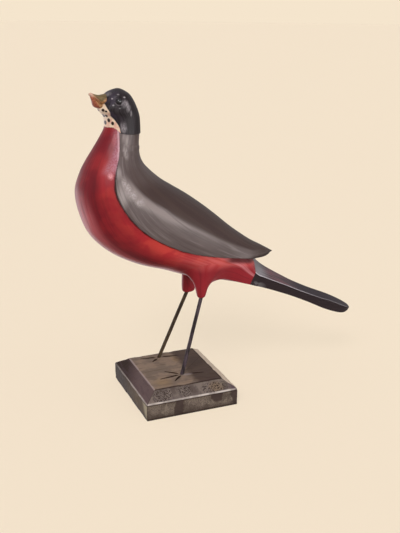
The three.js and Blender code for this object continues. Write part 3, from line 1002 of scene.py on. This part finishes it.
def hood_paint():
    paint = Finish("hood_paint", **PAINT)
    streaks = brushed(paint, paint.attribute("flow", 1), 1.4, 14.0)
    dry = paint.band(streaks, 0.46, 0.6)
    front = paint.band(paint.x, 33, 43)
    colour = paint.blend(front * paint.patches(paint.at, (7, 5, 6)), INK, BLUISH)
    colour = paint.blend(0.2 * dry, colour, tint(84, 76, 80))
    sheen = paint.spots(paint.mirrored, HOOD_SHEEN, 0.9)
    dabbed = paint.patches(paint.at, (0.8, 3.0, 1.8), 0.4, 0.6)
    colour = paint.blend(0.75 * sheen * (0.4 + 0.6 * dabbed), colour, CHALK)
    ring = paint.vector("LENGTH", paint.vector("SUBTRACT", paint.mirrored, tuple(EYE)), out=1)
    lid = paint.band((ring - EYE_RADIUS - 0.5).size(), 0.6, 0.1) * paint.band(paint.z, 199.6, 198.2)
    colour = paint.blend(0.22 * lid, colour, CHALK)
    dabs = paint.spots(paint.mirrored, HOOD_DABS, 0.8)
    colour = paint.blend(0.85 * dabs, colour, tint(186, 178, 180))
    return paint.done(colour, 0.3 + 0.2 * streaks, streaks, 0.1)


# Beak
def beak_paint(upper):
    paint = Finish("upper_beak_paint" if upper else "lower_beak_paint", **PAINT)
    x, z = paint.x, paint.z
    grain = paint.noise(paint.at, (2.5, 0.7, 0.7), 3.0)
    gold = paint.blend(paint.band(grain, 0.45, 0.6), tint(178, 132, 88), tint(132, 90, 54))
    if upper:
        olive = paint.blend(paint.band(grain, 0.45, 0.6), tint(124, 104, 66), tint(96, 80, 54))
        front = paint.blend(paint.band(z - x, 151.0, 153.0), tint(192, 138, 108), olive)
        colour = paint.blend(paint.band(z + 0.8 * x, 236.5, 235.5), front, gold)
        colour = paint.blend(paint.band(x, 50.2, 51.8), colour, tint(206, 168, 146))
    else:
        red = paint.blend(paint.band(grain, 0.45, 0.6), tint(140, 70, 46), tint(168, 98, 70))
        colour = paint.blend(paint.band(x - 0.55 * (z - 196), 47.4, 48.2), gold, red)
    return paint.done(colour, 0.35 + 0.15 * grain, grain, 0.08)


# Wires and eyes
def wire_finish(side, colour, worn):
    paint = Finish("wire_finish_" + side, Specular_IOR_Level=0.3)
    blotches = paint.patches(paint.at, (2.0, 2.0, 9.0), 0.4, 0.6)
    colour = paint.blend(blotches, colour, worn)
    pits = paint.noise(paint.at, 0.7, 3.0)
    return paint.done(colour, 0.35 + 0.3 * pits, pits, 0.05)


def bead_finish():
    paint = Finish("bead_finish", Coat_Weight=1.0, Coat_Roughness=0.03)
    cloudy = paint.noise(paint.at, 1.5)
    colour = paint.blend(cloudy, tint(10, 8, 10), tint(24, 18, 20))
    return paint.done(colour, 0.12 + 0.1 * cloudy)


# Block
TAUPE, OCHRE = tint(152, 132, 113), tint(160, 134, 100)
BLOCK_DARK, TOE_BROWN = tint(60, 46, 42), tint(46, 31, 24)
NEAR_PATCHES = [((9.6, 34.5, 5), (4.6, 3, 9)), ((-17, 34.5, 9), (4.4, 3, 5)), ((-30, 34.5, 7), (4, 3, 7))]
STIPPLED = [((20, 31, 14), (9, 7, 5)), ((4.6, 30, 15), (6, 6, 5)), ((-16, 31, 14), (11, 6, 5))]
SLOPE_PATCHES = [((-1.6, 30, 15), (4, 6, 6)), ((12, 28, 16), (3.4, 5, 6)), ((-24, 31, 13), (3, 6, 4))]


def toe_strokes(paint):
    """The toes' paint, crisp at any distance."""
    strokes = 0.0
    for a, b in toe_lines():
        way = (b - a).normalized()
        aside = Vector((-way.y, way.x, 0))
        from_start = paint.vector("SUBTRACT", paint.at, tuple(a - Vector((0, BIRD_Y, 0))))
        along = paint.vector("DOT_PRODUCT", from_start, tuple(way), out=1)
        across = paint.vector("DOT_PRODUCT", from_start, tuple(aside), out=1).size()
        length = (b - a).length
        narrowing = 0.45 + 0.55 * paint.band(along, length, length / 3)
        taper = 0.7 * TOE_WIDTH * paint.band(along, -0.5, 3) * narrowing
        inside = paint.band(across - taper, 0.25, -0.1) * paint.band(along - length, 0.3, -0.3)
        strokes = inside.most(strokes)
    return strokes


def block_paint():
    paint = Finish("block_paint", Specular_IOR_Level=0.15)
    x, y, z = paint.x, paint.y + BIRD_Y, paint.z
    own = paint.node("ShaderNodeCombineXYZ", (), {0: x, 1: y, 2: z})
    half_length, half_width = BLOCK["length"] / 2, BLOCK["width"] / 2
    front, rear = half_length - x, half_length + x
    near, far = half_width - y, half_width + y
    ends, flanks = front.least(rear), near.least(far)
    closest = ends.least(flanks)
    inset = BLOCK["bevel_inset"]
    top = paint.band(closest, inset - 0.1, inset + 0.2)
    is_front = paint.band(flanks.least(rear) - front, -0.1, 0.1)
    is_rear = paint.band(flanks.least(front) - rear, -0.1, 0.1)
    sloping = paint.band(z, BLOCK["side"] - 0.2, BLOCK["side"] + 0.2)

    cloudy = paint.patches(own, (9, 9, 7), 0.4, 0.6, 3.0)
    ragged = paint.noise(own, 3.0, 3.0)
    stipple = paint.patches(own, 0.7, 0.5, 0.58, 2.0)
    grain = paint.noise(own, (14, 1.6, 3), 4.0)
    shifted = paint.vector("MULTIPLY_ADD", ragged, (7.0, 0.0, 0.0), paint.vector("SUBTRACT", own, (3.5, 0, 0)))

    side = paint.blend(cloudy, tint(92, 80, 70), tint(114, 101, 89))
    pale = paint.patches(own, (5, 5, 9), 0.56, 0.66, 2.0, 9.0)
    side = paint.blend(0.6 * pale, side, tint(134, 121, 105))
    side = paint.blend(0.85 * paint.spots(shifted, NEAR_PATCHES, 0.3), side, BLOCK_DARK)
    side = paint.blend(0.5 * stipple, side, tint(62, 50, 44))
    front_side = paint.blend(paint.band(y, 16, -18), tint(88, 68, 36), tint(42, 27, 13))
    front_side = paint.blend(0.5 * cloudy, front_side, tint(64, 46, 24))
    front_side = paint.blend(paint.band(y + 0.5 * z, 28, 35), front_side, tint(156, 144, 116))
    side = paint.blend(is_front, side, front_side)
    under_rim = paint.band(z, 10.0, 10.5) * paint.band(y, 20, 26)
    foot = (0.55 * paint.band(z, 5.0, 1.8)).most(paint.band(z, 2.0, 1.5))
    side = paint.blend(0.85 * foot.most(0.8 * under_rim), side, tint(50, 38, 31))

    slope = paint.blend(cloudy, tint(104, 93, 86), tint(122, 110, 101))
    strokes = paint.patches(own, (1.2, 9, 9), 0.52, 0.62, 2.0, 4.0)
    slope = paint.blend(0.35 * strokes, slope, tint(88, 76, 72))
    slope = paint.blend(0.7 * paint.spots(shifted, SLOPE_PATCHES, 0.7), slope, tint(76, 65, 60))
    slope = paint.blend(0.5 * paint.spot(shifted, (-18, 31, 14), (7, 6, 5), 0.7), slope, tint(144, 122, 94))
    slope = paint.blend(stipple * paint.spots(shifted, STIPPLED, 0.4), slope, tint(42, 33, 31))
    slope = paint.blend(paint.band(x, -25, -29), slope, tint(88, 74, 78))
    front_slope = paint.blend(paint.band(y + 3 * z, 20, 52), tint(58, 45, 40), tint(104, 86, 84))
    front_slope = paint.blend(0.4 * strokes, front_slope, tint(84, 68, 70))
    # Painted highlight: the rear slope much paler
    rear_slope_highlight = paint.blend(0.4 * stipple, tint(226, 208, 184), tint(170, 152, 130))
    slope = paint.blend(is_front, slope, front_slope)
    slope = paint.blend(is_rear, slope, rear_slope_highlight)
    colour = paint.blend(sloping, side, slope)

    panel = paint.blend(cloudy, TAUPE, tint(130, 114, 99))
    ochre = paint.spots(own, [((15, 18, 17), (9, 9, 9)), ((-6, -13, 17), (5, 9, 9))], 0.9)
    panel = paint.blend(0.7 * ochre, panel, OCHRE)
    shade = paint.band(x + 5 * (ragged - 0.5), -3.5, -9.5)
    panel = paint.blend(0.85 * shade, panel, tint(76, 61, 54))
    panel = paint.blend(0.35 * paint.band(grain, 0.54, 0.68), panel, tint(90, 72, 56))
    colour = paint.blend(top, colour, panel)

    rim = paint.vector("LENGTH", paint.node("ShaderNodeCombineXYZ", (), {0: closest, 1: z - BLOCK["side"]}), out=1)
    sill = paint.vector("LENGTH", paint.node("ShaderNodeCombineXYZ", (), {0: closest - inset, 1: z - BLOCK_TOP}), out=1)
    hips = (ends - flanks).size() + 9 * top
    # Pale lines along the sides' top edges: wear, and a painted highlight
    wear_and_highlight = 0.55 + 0.45 * paint.patches(own, 5, 0.4, 0.6, 3.0, 2.0)
    wear_and_highlight = wear_and_highlight * (1 - is_front * (0.25 + 0.4 * paint.band(y, 12, -22)))
    colour = paint.blend(0.9 * wear_and_highlight * paint.band(rim, 0.85, 0.5), colour, tint(204, 193, 184))
    colour = paint.blend(0.6 * paint.band(hips, 0.5, 0.15), colour, tint(58, 45, 42))
    # Along the panel's edge: a painted shadow line, and a pale line on the front edge, wear and painted highlight
    sill = paint.band(sill, 0.8, 0.45) * (1 - 0.25 * is_front)
    colour = paint.blend(0.9 * sill, colour, paint.blend(is_front, tint(50, 36, 32), tint(180, 164, 158)))
    colour = paint.blend(0.95 * toe_strokes(paint) * top, colour, TOE_BROWN)
    dab = paint.spot(own, (-4.4, 12.6, 17), (5.2, 2.4, 3), 0.8)
    colour = paint.blend(0.8 * dab, colour, tint(166, 152, 147))
    return paint.done(colour, 0.5 + 0.25 * grain, grain, 0.2)


# Pieces
CRISP = math.radians(40)
SOFT = math.radians(50)
on_block = {"origin": (0, 0, 0), "crease": CRISP}
body_mesh, wings_mesh = make_body(), make_wings()
skin = BVHTree.FromBMesh(body_mesh)
thigh_meshes = {side: make_thigh(side, skin) for side in SIDES}
for mesh in (body_mesh, wings_mesh, *thigh_meshes.values()):
    mark_edge(mesh)
finished(body_mesh, "breast_and_tail", breast_paint(), "oil_paint", ["bird"], crease=CRISP)
finished(wings_mesh, "folded_wings", wing_paint(), "oil_paint", ["bird"], crease=SOFT)
finished(make_hood(), "hood", hood_paint(), "oil_paint", ["bird"], crease=SOFT)
for side, mesh in thigh_meshes.items():
    finished(mesh, "thigh_" + side, thigh_paint(), "oil_paint", ["bird"])
finished(make_beak(UPPER_BEAK), "upper_beak", beak_paint(True), "oil_paint", ["bird"])
finished(make_beak(LOWER_BEAK), "lower_beak", beak_paint(False), "oil_paint", ["bird"])
finished(make_block(), "block", block_paint(), "aged_wood", ["base_block"], **on_block)
WIRE_COLOURS = {
    "left": (tint(36, 27, 28), tint(70, 58, 64)),
    "right": (tint(50, 37, 25), tint(74, 60, 42)),
}
for side in SIDES:
    wire = wire_finish(side, *WIRE_COLOURS[side])
    finished(make_wire(side), "wire_" + side, wire, "wire", ["leg_" + side], **on_block)
    finished(make_eye(side), "bead_" + side, bead_finish(), "eye_glass", ["eye_" + side])


# Stage: a floor and a far backdrop that only the camera sees, lit by panels in the world
BACKDROP = tint(245, 229, 205)
STUDIO_RADIUS = 12.0
FLOOR_GLOW = 0.76


def unlit(obj):
    obj.visible_diffuse = obj.visible_glossy = obj.visible_shadow = False


def make_studio():
    for name in ("floor", "backdrop"):
        bm = bmesh.new()
        if name == "floor":
            bmesh.ops.create_circle(bm, cap_ends=True, segments=96, radius=STUDIO_RADIUS)
        else:
            bmesh.ops.create_icosphere(bm, subdivisions=5, radius=STUDIO_RADIUS)
            ground = {"plane_co": (0, 0, -0.01), "plane_no": (0, 0, -1), "clear_outer": True}
            bmesh.ops.bisect_plane(bm, geom=[*bm.verts, *bm.edges, *bm.faces], **ground)
        mesh = bpy.data.meshes.new(name)
        bm.to_mesh(mesh)
        bm.free()
        paper = Finish(name + "_paper", Specular_IOR_Level=0.0, Emission_Strength=1.0)
        floor = name == "floor"
        glow = FLOOR_GLOW if floor else 1.0
        paper.put(paper.shader.inputs["Emission Color"], tuple(glow * c for c in BACKDROP))
        albedo = FLOOR_ALBEDO if floor else 0.0
        mesh.materials.append(paper.done(tuple(albedo * c for c in BACKDROP), 1.0))
        piece = bpy.data.objects.new(name, mesh)
        bpy.context.scene.collection.objects.link(piece)
        unlit(piece)


FLOOR_ALBEDO = 0.3
make_studio()


# World: soft panels, as azimuth, elevation, width and height in degrees, and light
PANELS = [
    (42, 44, 30, 20, 11, (1.0, 0.96, 0.98)),
    (-28, 4, 76, 9, 8, (1.0, 0.98, 0.98)),
    (146, -18, 54, 34, 1.8, (1.0, 0.93, 0.97)),
    (196, -36, 60, 14, 1.6, (1.0, 0.95, 0.95)),
]
PANEL_SOFT = 5.0
SKY, GROUND = (0.4, 0.39, 0.4), (0.3, 0.27, 0.25)


def make_world():
    world = bpy.data.worlds.new("studio")
    world.use_nodes = True
    nodes = Nodes(world.node_tree)
    way = nodes.node("ShaderNodeTexCoord")
    _, _, up = nodes.parts(way)
    elevation = math.degrees(1) * nodes.node("ShaderNodeMath", {"operation": "ARCSINE"}, {0: up})
    light = nodes.blend(nodes.band(elevation, -6, 6), (*GROUND, 1), (*SKY, 1))
    for azimuth, height, wide, tall, power, colour in PANELS:
        forward = direction(math.radians(azimuth), 0)
        right = direction(math.radians(azimuth + 90), 0)
        across = nodes.vector("DOT_PRODUCT", way, tuple(right), out=1)
        ahead = nodes.vector("DOT_PRODUCT", way, tuple(forward), out=1)
        turn = across.reckon("ARCTAN2", across, ahead)
        aside = (math.degrees(1) * turn).size()
        above = (elevation - height).size()
        mask = nodes.band(aside, wide / 2 + PANEL_SOFT, wide / 2 - PANEL_SOFT)
        mask = mask * nodes.band(above, tall / 2 + PANEL_SOFT, tall / 2 - PANEL_SOFT)
        added = tuple(power * c for c in colour)
        light = nodes.vector("MULTIPLY_ADD", mask, added, light)
    nodes.put(nodes.tree.nodes["Background"].inputs["Color"], light)
    bpy.context.scene.world = world


make_world()
bpy.context.scene.view_settings.view_transform = "Standard"
